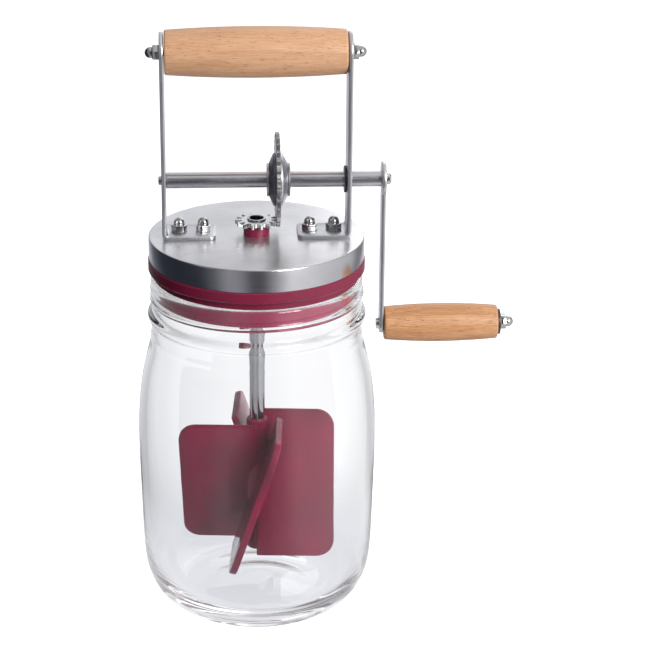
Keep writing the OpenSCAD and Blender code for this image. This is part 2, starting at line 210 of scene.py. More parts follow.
plateSteel = brushedSteel("plateSteel", dict(
    steelLook, brushStretch=(20, 20, 1), roughness=(0.25, 0.4),
    darkColour=(0.52, 0.52, 0.55), lightColour=(0.64, 0.64, 0.67)))
gearSteel = brushedSteel("gearSteel", dict(
    steelLook, brushStretch=(1, 1, 1), roughness=(0.28, 0.45), bump=0.15,
    darkColour=(0.34, 0.34, 0.35), lightColour=(0.52, 0.52, 0.53)))
# painted shade: a much darker copy of the flange steel for the left gear flange, which faces the dark side
# of the room, while the right flange takes the plain plate steel
shadedFlangeSteel = brushedSteel("shadedFlangeSteel", dict(
    steelLook, brushStretch=(30, 1, 1), roughness=(0.3, 0.42), bump=0.1,
    darkColour=(0.14, 0.14, 0.17), lightColour=(0.22, 0.22, 0.26)))
brightSteel = brushedSteel("brightSteel", dict(
    steelLook, brushStretch=(2, 2, 2), roughness=(0.1, 0.2), bump=0.05,
    darkColour=(0.60, 0.60, 0.60), lightColour=(0.72, 0.72, 0.71)))
nutSteel = brushedSteel("nutSteel", dict(
    steelLook, brushStretch=(2, 2, 2), roughness=(0.06, 0.14), bump=0.05,
    darkColour=(0.40, 0.40, 0.40), lightColour=(0.52, 0.52, 0.51)))
tubeSteel = brushedSteel("tubeSteel", dict(
    steelLook, brushStretch=(30, 30, 1), roughness=(0.08, 0.18), bump=0.08,
    darkColour=(0.38, 0.38, 0.40), lightColour=(0.52, 0.52, 0.55)))
pinionSteel = brushedSteel("pinionSteel", dict(
    steelLook, brushStretch=(1, 1, 1), roughness=(0.2, 0.32), bump=0.08,
    darkColour=(0.62, 0.62, 0.62), lightColour=(0.78, 0.78, 0.77)))
darkSteel = brushedSteel("darkSteel", dict(
    steelLook, brushStretch=(4, 4, 4), roughness=(0.35, 0.5), bump=0.1,
    darkColour=(0.06, 0.06, 0.065), lightColour=(0.12, 0.12, 0.125)))
print("steel ready")


def burgundyPlastic(name, look):
    material, tree, shader = newMaterial(name)
    mottle = stretchedNoise(tree, look["mottleScale"], unstretched, detail=5)
    shade = colourRamp(tree, mottle.outputs["Fac"], look["stops"], (look["deepColour"], look["warmColour"]))
    tree.links.new(shade, shader.inputs["Base Color"])
    tree.links.new(rangeMap(tree, mottle.outputs["Fac"], *look["roughness"]), shader.inputs["Roughness"])
    shader.inputs["Specular IOR Level"].default_value = look["shine"]
    grain = stretchedNoise(tree, look["grainScale"], unstretched, detail=4)
    addBump(tree, shader, grain.outputs["Fac"], look["bump"], look["bumpDepth"])
    return material


sealPlastic = burgundyPlastic("sealPlastic", {
    "deepColour": (0.165, 0.006, 0.033), "warmColour": (0.225, 0.011, 0.048), "stops": (0.3, 0.72),
    "mottleScale": 40, "roughness": (0.34, 0.46), "shine": 0.4, "grainScale": 1400,
    "bump": 0.2, "bumpDepth": 0.05,
})
paddlePlastic = burgundyPlastic("paddlePlastic", {
    "deepColour": (0.085, 0.001, 0.014), "warmColour": (0.195, 0.002, 0.032), "stops": (0.3, 0.72),
    "mottleScale": 30, "roughness": (0.07, 0.18), "shine": 0.2, "grainScale": 900,
    "bump": 0.15, "bumpDepth": 0.05,
})
print("plastic ready")


def beechWood(name, look):
    # growth rings, fine streaks along the grain and short dark flecks, all stretched along X
    material, tree, shader = newMaterial(name)
    rings = stretchedNoise(tree, look["ringScale"], look["ringStretch"], detail=3, turn=look["turn"])
    fine = stretchedNoise(tree, look["fineScale"], look["fineStretch"], detail=3, turn=look["turn"])
    flecks = stretchedNoise(tree, look["fleckScale"], look["fleckStretch"], detail=1, turn=look["turn"])
    base = colourRamp(tree, rings.outputs["Fac"], look["ringStops"],
                      (look["brown"], look["tan"], look["cream"]))
    streak = colourRamp(tree, fine.outputs["Fac"], look["fineStops"], (look["streakColour"], white))
    fleck = colourRamp(tree, flecks.outputs["Fac"], look["fleckStops"], (look["fleckColour"], white))
    first = addNode(tree, "ShaderNodeMix", data_type="RGBA", blend_type="MULTIPLY")
    second = addNode(tree, "ShaderNodeMix", data_type="RGBA", blend_type="MULTIPLY")
    for mix in (first, second):
        mix.inputs["Factor"].default_value = 1
    tree.links.new(base, first.inputs["A"])
    tree.links.new(streak, first.inputs["B"])
    tree.links.new(first.outputs["Result"], second.inputs["A"])
    tree.links.new(fleck, second.inputs["B"])
    tree.links.new(second.outputs["Result"], shader.inputs["Base Color"])
    tree.links.new(rangeMap(tree, fine.outputs["Fac"], *look["roughness"]), shader.inputs["Roughness"])
    addBump(tree, shader, fine.outputs["Fac"], look["bump"], look["bumpDepth"])
    return material


beechLook = {
    "cream": (0.70, 0.415, 0.245), "tan": (0.665, 0.38, 0.215), "brown": (0.60, 0.325, 0.175),
    "streakColour": (0.80, 0.74, 0.68), "fleckColour": (0.55, 0.42, 0.35),
    "ringScale": 230, "ringStretch": (0.05, 1, 1), "ringStops": (0.32, 0.50, 0.66),
    "fineScale": 2400, "fineStretch": (0.025, 1, 1), "fineStops": (0.30, 0.62),
    "fleckScale": 2700, "fleckStretch": (0.09, 1, 1), "fleckStops": (0.27, 0.36), "roughness": (0.55, 0.4),
    "bump": 0.2, "bumpDepth": 0.05, "turn": (0.2, 0, 0),
}
handleBeech = beechWood("handleBeech", beechLook)
gripBeech = beechWood("gripBeech", dict(
    beechLook, turn=(1.3, 0.01, 0.012), cream=(0.66, 0.36, 0.180), tan=(0.60, 0.31, 0.145),
    brown=(0.52, 0.25, 0.105), streakColour=(0.70, 0.60, 0.52), fleckColour=(0.40, 0.28, 0.22)))
print("wood ready")


def clearGlass(name, look):
    # lamps shine through it with a faint tint, so that it throws hardly any shadow
    material, tree, shader = newMaterial(name)
    shader.inputs["Base Color"].default_value = (*look["tint"], 1)
    shader.inputs["Transmission Weight"].default_value = 1
    shader.inputs["IOR"].default_value = look["ior"]
    shader.inputs["Specular IOR Level"].default_value = look["gloss"]
    ripple = stretchedNoise(tree, look["rippleScale"], look["rippleStretch"], detail=2)
    tree.links.new(rangeMap(tree, ripple.outputs["Fac"], *look["roughness"]), shader.inputs["Roughness"])
    addBump(tree, shader, ripple.outputs["Fac"], look["ripple"], look["rippleDepth"])
    lamps = addNode(tree, "ShaderNodeBsdfTransparent")
    lamps.inputs["Color"].default_value = (*look["shadowTint"], 1)
    path = addNode(tree, "ShaderNodeLightPath")
    mix = addNode(tree, "ShaderNodeMixShader")
    tree.links.new(path.outputs["Is Shadow Ray"], mix.inputs["Fac"])
    tree.links.new(shader.outputs["BSDF"], mix.inputs[1])
    tree.links.new(lamps.outputs["BSDF"], mix.inputs[2])
    tree.links.new(mix.outputs["Shader"], tree.nodes["Material Output"].inputs["Surface"])
    return material


jarGlass = clearGlass("jarGlass", {
    "tint": (0.992, 0.996, 1.0), "shadowTint": (0.93, 0.94, 0.96), "roughness": (0.0, 0.02),
    "rippleScale": 45, "rippleStretch": (1, 1, 0.5), "ripple": 0.12, "rippleDepth": 0.4,
    "ior": 1.5, "gloss": 0.3,
})
print("glass ready")


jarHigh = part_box("glass_jar")[1]
jarTop = jarHigh.z / mm
jarBelly = jarHigh.x / mm
jarSize = {
    "mouth": 49.2, "steps": 96, "threadLow": 166.2, "threadPitch": 5.0, "threadWidth": 1.15,
    "threadRise": 1.35, "threadTurns": 1.6, "threadFade": 8, "threadInset": 9,
    "threadRoom": (2, 3.4),  # clear height below the first turn and under the rim
    "rimEdge": [(9.2, 0), (10.6, -0.05)], "mouthEdge": [(-0.3, -0.8), (0, -2.4)], "mouthRows": (168, 157),
}
# radius and height, from the middle of the underside out
jarUnderside = [(0, 5.2), (2, 5.19), (6, 5.1), (12, 4.6), (20, 3.3), (28, 1.6), (34, 0.45), (38.0, 0.0),
                (42.5, 1.0), (49.4, 4.6), (55.0, 11.2), (58.4, 19.8)]
# how far in from the belly, and height, going up the outside
jarOutside = [(1.5, 30), (1.15, 45), (0.6, 65), (0.1, 83), (0, 97), (0.5, 110), (1.8, 122.5), (4.1, 134.5),
              (6.6, 143.2), (7.4, 147.6), (7.2, 149.4), (7.7, 150.4), (7.7, 154.6)]
jarBead = [(7.6, 156.0), (7.1, 157.1), (6.2, 158.2), (5.8, 159.6), (6.2, 161.0),
           (7.2, 162.3), (8.1, 163.3), (8.2, 164.4)]
jarNeck = [(8.2, 165 + 0.75 * i) for i in range(13)]  # close rows, for the thread to rise from
jarRim = [(8.1, 174.6), (7.8, 175.6), (7.55, 177.2), (7.9, 178.9)]
# radius and height again, from the mouth down to the middle of the floor
jarInside = [(49.5, 149.5), (50.6, 142.5), (53.0, 134), (55.3, 122.5)]
jarInsideWall = [(4.5, 110), (4, 97), (4.1, 83), (4.7, 65), (5.3, 45), (5.9, 30)]  # in from the belly
jarFloor = [(53.6, 21), (49.2, 14.2), (43.4, 10.2), (36, 8.5), (28, 8.7), (15, 9.6), (6, 9.9), (2, 10),
            (0, 10)]


def raiseThread(bm, fromRadius):
    # a low ridge climbs round the neck for rather more than one turn, fading in and out at its ends
    s = jarSize
    below, above = s["threadRoom"]
    for vert in bm.verts:
        radius = math.hypot(vert.co.x, vert.co.y)
        height = vert.co.z / mm
        if radius < fromRadius * mm or not s["threadLow"] - below < height < jarTop - above:
            continue
        angle = math.atan2(vert.co.y, vert.co.x) / math.tau % 1
        rise = 0
        for turn in (angle, angle + 1):
            if turn > s["threadTurns"]:
                continue
            away = (height - s["threadLow"] - turn * s["threadPitch"]) / s["threadWidth"]
            fade = min(1, turn * s["threadFade"], (s["threadTurns"] - turn) * s["threadFade"])
            rise = max(rise, fade * math.exp(-away * away))
        outward = Vector((vert.co.x, vert.co.y, 0)).normalized()
        vert.co += outward * rise * s["threadRise"] * mm


def buildJar():
    mouth = jarSize["mouth"]
    profile = jarUnderside + fromCorner(jarBelly, 0, jarOutside + jarBead + jarNeck + jarRim)
    profile += fromCorner(jarBelly, jarTop, jarSize["rimEdge"])
    profile += fromCorner(mouth, jarTop, jarSize["mouthEdge"])
    profile += [(mouth, height) for height in jarSize["mouthRows"]]
    profile += jarInside + fromCorner(jarBelly, 0, jarInsideWall) + jarFloor
    bm = bmesh.new()
    spinProfile(bm, profile, steps=jarSize["steps"])
    raiseThread(bm, jarBelly - jarSize["threadInset"])
    jar = makePiece(bm, "glassJar", "jar", [jarGlass], ["glass_jar"], smoothDeg=180)
    smooth = jar.modifiers.new("smooth", "SUBSURF")
    smooth.levels = 1
    smooth.render_levels = 1


buildJar()
print("jar built")


lidLow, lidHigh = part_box("lid_cap")
lidTop = lidHigh.z / mm
lidRadius = lidHigh.x / mm
skirtBottom = lidLow.z / mm
lidSize = {
    "hole": 5.1, "sheet": 0.8, "edgeRadius": 0.9, "edgeSteps": 6, "flatInset": 1.98, "sideStart": 4,
    "lip": [(0, 0.4), (0.2, 0)], "topFacing": 0.9, "steps": 160,
}


def buildLid():
    # one sheet turned down round its edge, with its own brushed finish on the flat top
    s = lidSize
    edge, sheet = s["edgeRadius"], s["sheet"]
    inside = lidRadius - sheet
    profile = [(s["hole"], lidTop), (lidRadius / 2, lidTop), (lidRadius - s["flatInset"], lidTop)]
    profile += arcPoints(lidRadius - edge, lidTop - edge, edge, 90, 0, s["edgeSteps"])
    profile += [(lidRadius, lidTop - s["sideStart"])] + fromCorner(lidRadius, skirtBottom, s["lip"])
    profile += [(inside, skirtBottom), (inside, lidTop - edge - sheet), (inside - edge, lidTop - sheet),
                (s["hole"], lidTop - sheet)]
    bm = bmesh.new()
    spinProfile(bm, profile, steps=s["steps"], closed=True)
    bmesh.ops.recalc_face_normals(bm, faces=bm.faces)
    for face in bm.faces:
        face.material_index = 0 if face.normal.z > s["topFacing"] else 1
    makePiece(bm, "lidCap", "lid", [lidTopSteel, skirtSteel], ["lid_cap"])


buildLid()

sealLow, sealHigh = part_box("lid_seal")
sealRadius = sealHigh.x / mm
plugBottom = sealLow.z / mm
sealSize = {"hole": 5.2, "plugRadius": 48.7, "plugWall": 2.8, "web": 3, "topGap": 0.1, "steps": 128}
sealCorners = {
    "shoulder": [(2.6, 0), (1.3, -1.2)], "underSkirt": [(1.3, 0.5)],
    "flangeTop": [(0.5, -0.15), (0, -0.65)], "flangeFoot": [(0, 4.5), (0.6, 3.8), (1.4, 3.6)],
    "step": [(1.9, 3.5), (2.4, 3.0), (2.4, 0.3), (2.7, 0.03)],
    "plugTop": [(0, 0.03)], "plugFoot": [(0, 1), (0.8, 0)],
    "insideFoot": [(-0.6, 0), (0, 0.6)], "insideTop": [(0, -1), (1, 0)],
}


def buildSeal():
    # it fills the cap, shows as a flange under the skirt, steps in to the rim and plugs the mouth
    s, c = sealSize, sealCorners
    top = lidTop - lidSize["sheet"] - s["topGap"]
    web = top - s["web"]
    inner = s["plugRadius"] - s["plugWall"]
    profile = [(s["hole"], top)] + fromCorner(lidRadius, top, c["shoulder"])
    profile += fromCorner(lidRadius, skirtBottom, c["underSkirt"])
    profile += fromCorner(sealRadius, skirtBottom, c["flangeTop"])
    profile += fromCorner(sealRadius, jarTop, c["flangeFoot"])
    profile += fromCorner(lidRadius, jarTop, c["step"])
    profile += fromCorner(s["plugRadius"], jarTop, c["plugTop"])
    profile += fromCorner(s["plugRadius"], plugBottom, c["plugFoot"])
    profile += fromCorner(inner, plugBottom, c["insideFoot"])
    profile += fromCorner(inner, web, c["insideTop"]) + [(s["hole"], web)]
    bm = bmesh.new()
    spinProfile(bm, profile, steps=s["steps"], closed=True)
    makePiece(bm, "lidSeal", "lid", [sealPlastic], ["lid_seal"])


buildSeal()

bushingLow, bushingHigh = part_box("shaft_bushing")
bushingSize = {"bore": 3.95, "neck": 5, "topEdge": [(0.8, 0), (0.2, -0.3), (0, -0.9)],
               "foot": [(0, 0.7), (0, 0.02)], "lidGap": 0.01, "steps": 64}


def buildBushing():
    s = bushingSize
    top = bushingHigh.z / mm
    low = bushingLow.z / mm
    radius = bushingHigh.x / mm
    profile = [(s["bore"], top)] + fromCorner(radius, top, s["topEdge"])
    profile += fromCorner(radius, lidTop, s["foot"])
    profile += [(s["neck"], lidTop + s["lidGap"]), (s["neck"], low), (s["bore"], low)]
    bm = bmesh.new()
    spinProfile(bm, profile, steps=s["steps"], closed=True)
    makePiece(bm, "shaftBushing", "lid", [sealPlastic], ["shaft_bushing"])


buildBushing()
print("lid built")


armLow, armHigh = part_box("bracket_right")
handleLow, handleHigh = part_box("carry_handle")
handleZ = (handleLow.z + handleHigh.z) / 2 / mm
bracketSize = {
    "sheet": 2.0, "bendRadius": 2.4, "bendSteps": 6, "footCorner": 3.0, "cornerSteps": 5, "edge": 0.35,
    "topRound": 0.995, "topSteps": 10,  # the round top's radius is this share of half the width
}


def buildBracket(name, node, side):
    s = bracketSize
    width = armHigh.y - armLow.y
    outerX = armHigh.x - s["sheet"] * mm / 2
    footZ = armLow.z + s["sheet"] * mm / 2
    bend = s["bendRadius"] * mm
    bm = bmesh.new()
    # the edge where the foot meets the bend is swept round the bend, then pulled out both ways
    a = bm.verts.new((outerX - bend, -width / 2, footZ))
    b = bm.verts.new((outerX - bend, width / 2, footZ))
    start = bm.edges.new((a, b))
    bmesh.ops.spin(bm, geom=[a, b, start], cent=(outerX - bend, 0, footZ + bend), axis=(0, -1, 0),
                   angle=math.radians(90), steps=s["bendSteps"], use_merge=False)
    foot = bmesh.ops.extrude_edge_only(bm, edges=[start])
    footVerts = [v for v in foot["geom"] if isinstance(v, bmesh.types.BMVert)]
    bmesh.ops.translate(bm, vec=(armLow.x - (outerX - bend), 0, 0), verts=footVerts)
    across = [e for e in bm.edges
              if e.is_boundary and abs(e.verts[0].co.y - e.verts[1].co.y) > width / 2]
    topEdge = max(across, key=lambda e: e.verts[0].co.z)
    arm = bmesh.ops.extrude_edge_only(bm, edges=[topEdge])
    armVerts = [v for v in arm["geom"] if isinstance(v, bmesh.types.BMVert)]
    bmesh.ops.translate(bm, vec=(0, 0, armHigh.z - armVerts[0].co.z), verts=armVerts)
    bmesh.ops.bevel(bm, geom=armVerts, offset=width / 2 * s["topRound"], offset_type="OFFSET",
                    segments=s["topSteps"], profile=0.5, affect="VERTICES", clamp_overlap=True,
                    material=-1)
    corners = [v for v in bm.verts if abs(v.co.x - armLow.x) < 1e-6]
    bmesh.ops.bevel(bm, geom=corners, offset=s["footCorner"] * mm, offset_type="OFFSET",
                    segments=s["cornerSteps"], profile=0.5, affect="VERTICES", clamp_overlap=True,
                    material=-1)
    if side < 0:
        bmesh.ops.scale(bm, vec=(-1, 1, 1), verts=bm.verts)
    bracket = makePiece(bm, name, "lid", [plateSteel], [node])
    sheet = bracket.modifiers.new("sheet", "SOLIDIFY")
    sheet.thickness = s["sheet"] * mm
    sheet.offset = 0
    edge = bracket.modifiers.new("edge", "BEVEL")
    edge.width = s["edge"] * mm
    edge.segments = 2
    edge.limit_method = "ANGLE"


buildBracket("bracketLeft", "bracket_left", -1)
buildBracket("bracketRight", "bracket_right", 1)
print("brackets built")


nutSize = {"across": 7.0, "hexHeight": 3.2, "height": 7.0, "edge": 0.3, "domeRadius": 2.75, "domeSteps": 7,
           "domeFoot": [(0, 0.35), (-0.3, -0.05), (-0.3, -0.6)], "sunk": 0.6, "steps": 24}
nutPlaces = {"endInset": 3.6, "pitch": 12, "firstTurnDeg": 17, "nextTurnDeg": 40, "sideTurnDeg": 25,
             "rodTurnDeg": 20}


def capNutMesh():
    s = nutSize
    corner = s["across"] / math.sqrt(3)
    nut = bmesh.new()
    bmesh.ops.create_cone(nut, cap_ends=True, cap_tris=False, segments=6, radius1=corner * mm,
                          radius2=corner * mm, depth=s["hexHeight"] * mm,
                          matrix=Matrix.Translation((0, 0, s["hexHeight"] / 2 * mm)))
    bevelSharp(nut, s["edge"], segments=2)
    dome = [(0, s["height"])]
    dome += arcPoints(0, s["height"] - s["domeRadius"], s["domeRadius"], 80, 0, s["domeSteps"])
    dome += fromCorner(s["domeRadius"], s["hexHeight"], s["domeFoot"])
    dome.append((0, s["hexHeight"] - s["sunk"]))
    spinProfile(nut, dome, steps=s["steps"])
    return nut


def buildCapNuts(name, body, node, places):
    nut = capNutMesh()
    bm = bmesh.new()
    for place in places:
        appendBmesh(bm, nut, place)
    nut.free()
    makePiece(bm, name, body, [nutSteel], [node], smoothDeg=30)


# two nuts on each bracket's foot, each turned a little differently, and one on each end of the rod
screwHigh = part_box("bracket_screws")[1]
footTop = armLow.z + bracketSize["sheet"] * mm
farX = screwHigh.x - nutPlaces["endInset"] * mm
nearX = farX - nutPlaces["pitch"] * mm
lidNuts = []
for side in (-1, 1):
    for i, x in enumerate((nearX, farX)):
        turnDeg = nutPlaces["firstTurnDeg"] + nutPlaces["nextTurnDeg"] * i + nutPlaces["sideTurnDeg"] * side
        lidNuts.append(Matrix.Translation((side * x, 0, footTop)) @ turned(turnDeg, "Z"))
rodEnd = armHigh.x
lidNuts.append(Matrix.Translation((rodEnd, 0, handleZ * mm)) @ turned(90, "Y"))
lidNuts.append(Matrix.Translation((-rodEnd, 0, handleZ * mm)) @ turned(-90, "Y")
               @ turned(nutPlaces["rodTurnDeg"], "Z"))
buildCapNuts("capNuts", "lid", "cap_nuts", lidNuts)
gripNutLow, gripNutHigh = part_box("grip_cap_nut")
gripNutZ = (gripNutLow.z + gripNutHigh.z) / 2
buildCapNuts("gripCapNut", "crank", "grip_cap_nut",
             [Matrix.Translation((gripNutLow.x, 0, gripNutZ)) @ turned(90, "Y")])
print("nuts built")


turnedSize = {"rows": 16, "straight": 1.3, "arcDeg": (15, 75), "arcSteps": 4, "steps": 96}
handleSize = {"end": 11.0, "chamfer": 1.0, "bore": 2.05}
gripSize = {"end": 8.6, "chamfer": 1.1, "bore": 2.05}


def buildTurnedWood(name, body, node, material, size):
    # a barrel, fullest in the middle, with rounded edges and a bore right through
    low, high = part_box(node)
    length = (high.x - low.x) / mm
    mid = (high.z - low.z) / 2 / mm
    end, chamfer, bore = size["end"], size["chamfer"], size["bore"]
    startDeg, stopDeg = turnedSize["arcDeg"]
    rows, arcSteps = turnedSize["rows"], turnedSize["arcSteps"]
    profile = [(bore, 0), (end - chamfer, 0)]
    profile += arcPoints(end - chamfer, chamfer, chamfer, -stopDeg, -startDeg, arcSteps)
    for i in range(rows + 1):
        u = 2 * i / rows - 1
        z = length / 2 + u * (length / 2 - chamfer * turnedSize["straight"])
        profile.append((mid - (mid - end) * u * u, z))
    profile += arcPoints(end - chamfer, length - chamfer, chamfer, startDeg, stopDeg, arcSteps)
    profile += [(end - chamfer, length), (bore, length)]
    bm = bmesh.new()
    spinProfile(bm, profile, steps=turnedSize["steps"], closed=True)
    layAlongX(bm, low.x / mm, (low.z + high.z) / 2 / mm)
    makePiece(bm, name, body, [material], [node], smoothDeg=50)


buildTurnedWood("carryHandle", "top_handle", "carry_handle", handleBeech, handleSize)
buildTurnedWood("crankGrip", "grip", "crank_grip", gripBeech, gripSize)
print("wood turned")


gearLow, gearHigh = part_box("drive_gear")
gearX = (gearLow.x + gearHigh.x) / 2 / mm
gearT = (gearHigh.x - gearLow.x) / mm
shaftZ = (gearLow.z + gearHigh.z) / 2 / mm
crankArmLow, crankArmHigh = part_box("crank_arm")
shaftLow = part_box("crank_shaft")[0]
shaftSize = {"radius": 4.0, "endRadius": 2.2, "chamfer": 0.4, "bracketGap": 0.1, "steps": 48}
gearSize = {"teeth": 29, "tip": 23.4, "root": 20.2, "rootWidth": 2.47, "tipWidth": 1.48, "chamfer": 0.12,
            "bore": 4.0}
pinionSize = {"teeth": 14, "tip": 10.68, "root": 7.78, "rootWidth": 2.05, "tipWidth": 1.52, "chamfer": 0.12,
              "bore": 3.9}
toothShape = {"flankDrop": 0.7, "cornerDrop": 0.2, "cornerShare": 0.8, "tipShare": 0.4, "valley": 0.15,
              "boreSteps": 32}


def buildShaft():
    # its left end is thinner, where it turns in the bracket
    s = shaftSize
    thick, thin, chamfer = s["radius"], s["endRadius"], s["chamfer"]
    start = shaftLow.x / mm
    shoulder = bracketSize["sheet"] + s["bracketGap"] - armHigh.x / mm
    end = crankArmLow.x / mm
    points = [(0, start), (thin - chamfer, start), (thin, start + chamfer), (thin, shoulder),
              (thick - chamfer, shoulder), (thick, shoulder + chamfer), (thick, end), (0, end)]
    bm = bmesh.new()
    spinProfile(bm, points, steps=s["steps"])
    layAlongX(bm, 0, shaftZ)
    makePiece(bm, "crankShaft", "crank", [shaftSteel], ["crank_shaft"])


def toothedDisc(size, thickness, firstDeg):
    # one tooth's outline is copied round into a closed loop, filled up to the bore and thickened
    spacing = math.tau / size["teeth"]
    root, tip = size["root"], size["tip"]
    rootHalf, tipHalf = size["rootWidth"] / 2, size["tipWidth"] / 2
    t = toothShape
    side = [(root, rootHalf), (tip - t["flankDrop"], tipHalf),
            (tip - t["cornerDrop"], tipHalf * t["cornerShare"]), (tip, tipHalf * t["tipShare"])]
    outline = [(x, -y) for x, y in side] + side[::-1]
    valley = root - t["valley"]
    outline.append((valley * math.cos(spacing / 2), valley * math.sin(spacing / 2)))
    nextX, nextY = outline[0]
    outline.append((nextX * math.cos(spacing) - nextY * math.sin(spacing),
                    nextX * math.sin(spacing) + nextY * math.cos(spacing)))
    bm = bmesh.new()
    verts = [bm.verts.new((x * mm, y * mm, 0)) for x, y in outline]
    edges = [bm.edges.new(pair) for pair in zip(verts, verts[1:])]
    bmesh.ops.spin(bm, geom=verts + edges, cent=(0, 0, 0), axis=(0, 0, 1), angle=math.tau,
                   steps=size["teeth"], use_duplicate=True)
    bmesh.ops.remove_doubles(bm, verts=bm.verts, dist=1e-6)
    bmesh.ops.create_circle(bm, cap_ends=False, segments=t["boreSteps"], radius=size["bore"] * mm)
    bmesh.ops.triangle_fill(bm, edges=bm.edges, use_beauty=True, use_dissolve=False, normal=(0, 0, 1))
    chamfer = size["chamfer"]
    under = bm.faces[:]
    made = bmesh.ops.extrude_face_region(bm, geom=under, use_keep_orig=True)
    top = [g for g in made["geom"] if isinstance(g, bmesh.types.BMFace)]
    bmesh.ops.translate(bm, vec=(0, 0, (thickness - chamfer) * mm),
                        verts=list({v for face in top for v in face.verts}))
    bmesh.ops.translate(bm, vec=(0, 0, chamfer * mm),
                        verts=list({v for face in under for v in face.verts}))
    bmesh.ops.recalc_face_normals(bm, faces=bm.faces)
    for cap in (top, under):
        bmesh.ops.inset_region(bm, faces=cap, thickness=chamfer * mm, depth=chamfer * mm,
                               use_even_offset=True, use_boundary=True)
    bmesh.ops.rotate(bm, matrix=Matrix.Rotation(math.radians(firstDeg), 3, "Z"), verts=bm.verts)
    return bm


def buildGear():
    bm = toothedDisc(gearSize, gearT, 180 / gearSize["teeth"])
    layAlongX(bm, gearX - gearT / 2, shaftZ)
    makePiece(bm, "driveGear", "crank", [gearSteel], ["drive_gear"], smoothDeg=25)


flangeSize = {
    "bore": 4.0, "faceEdge": [(5.6, 0), (4.8, -0.2)], "rimFoot": [(0, 0.2), (0.2, 0.02)], "gearGap": 0.02,
    "steps": 64,
    # how far in from the rim, and at what share of the depth
    "dish": [(3.0, 0.72), (1.2, 0.46), (0.4, 0.36), (0.05, 0.27), (0, 0.2)],
}


def buildFlange(name, node, side, finish):
    s = flangeSize
    low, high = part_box(node)
    depth = (high.x - low.x) / mm
    radius = (high.z - low.z) / 2 / mm
    points = [(s["bore"], depth)] + fromCorner(radius, depth, s["faceEdge"])
    points += [(radius - inset, depth * share) for inset, share in s["dish"]]
    points += fromCorner(radius, 0, s["rimFoot"]) + [(s["bore"], s["gearGap"])]
    bm = bmesh.new()
    spinProfile(bm, points, steps=s["steps"], closed=True)
    if side > 0:
        layAlongX(bm, low.x / mm, shaftZ)
    else:
        bmesh.ops.scale(bm, vec=(1, 1, -1), verts=bm.verts)
        layAlongX(bm, high.x / mm, shaftZ)
    makePiece(bm, name, "crank", [finish], [node])


buildShaft()
buildGear()
# painted shade on the left flange: it takes the darker steel, the right one the plain plate steel
buildFlange("gearFlangeLeft", "gear_flange_left", -1, shadedFlangeSteel)
buildFlange("gearFlangeRight", "gear_flange_right", 1, plateSteel)
print("shaft and gear built")


gripLow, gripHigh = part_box("crank_grip")
gripZ = (gripLow.z + gripHigh.z) / 2 / mm
armSize = {"head": 8.5, "headSteps": 36, "shank": 5.0, "shankSteps": 18, "edge": 0.35}


def buildCrankArm():
    # a flat bar, wider round the shaft than along its length and round the grip's bolt
    s = armSize
    spread = math.degrees(math.asin(s["shank"] / s["head"]))
    outline = arcPoints(0, shaftZ, s["head"], -90 + spread, 270 - spread, s["headSteps"])
    outline += arcPoints(0, gripZ, s["shank"], 180, 360, s["shankSteps"])
    bm = bmesh.new()
    verts = [bm.verts.new((crankArmLow.x, y * mm, z * mm)) for y, z in outline]
    face = bm.faces.new(verts)
    made = bmesh.ops.extrude_face_region(bm, geom=[face])
    bmesh.ops.translate(bm, vec=(crankArmHigh.x - crankArmLow.x, 0, 0),
                        verts=[v for v in made["geom"] if isinstance(v, bmesh.types.BMVert)])
    bmesh.ops.recalc_face_normals(bm, faces=bm.faces)
    bevelSharp(bm, s["edge"], segments=2, angleDeg=60)
    makePiece(bm, "crankArm", "crank", [plateSteel], ["crank_arm"])


buildCrankArm()
print("crank arm built")


pinionLow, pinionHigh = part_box("pinion")
tubeLow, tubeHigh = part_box("drive_tube")
paddleLow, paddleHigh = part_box("paddle")


def buildPinion():
    bm = toothedDisc(pinionSize, (pinionHigh.z - pinionLow.z) / mm, 0)
    bmesh.ops.translate(bm, vec=(0, 0, pinionLow.z), verts=bm.verts)
    makePiece(bm, "pinion", "beater", [pinionSteel], ["pinion"], smoothDeg=25)


tubeSize = {"bore": 3.4, "radius": 3.9, "collar": [(-0.6, 0.05), (-0.8, 0.35)],
            "lip": [(-0.7, -0.15), (-0.3, 0), (0.1, 0), (0.45, -0.3), (0.5, -0.8)], "steps": 48}


def buildTube():
    # above the pinion the tube opens out into a collar
    s = tubeSize
    top = tubeHigh.z / mm
    low = tubeLow.z / mm
    plate = pinionHigh.z / mm
    points = [(s["bore"], low), (s["radius"], low), (s["radius"], plate)]
    points += fromCorner(s["radius"], plate, s["collar"]) + fromCorner(s["radius"], top, s["lip"])
    bm = bmesh.new()
    spinProfile(bm, points, steps=s["steps"], closed=True)
    makePiece(bm, "driveTube", "beater", [tubeSteel], ["drive_tube"])


paddleSize = {
    "blades": 4, "reach": 40, "height": 77, "thickness": 3.6, "corner": 9.0, "cornerSteps": 8, "edge": 0.7,
    "turnDeg": -4, "slopeDeg": 18, "hub": 5.7, "hubTop": [(0.6, 0), (0, -0.7)],
    "hubFoot": [(0, 0.7), (0.6, 0)], "bore": 3.9, "boreFloor": 5, "boreMouth": 3, "hubSteps": 48,
}


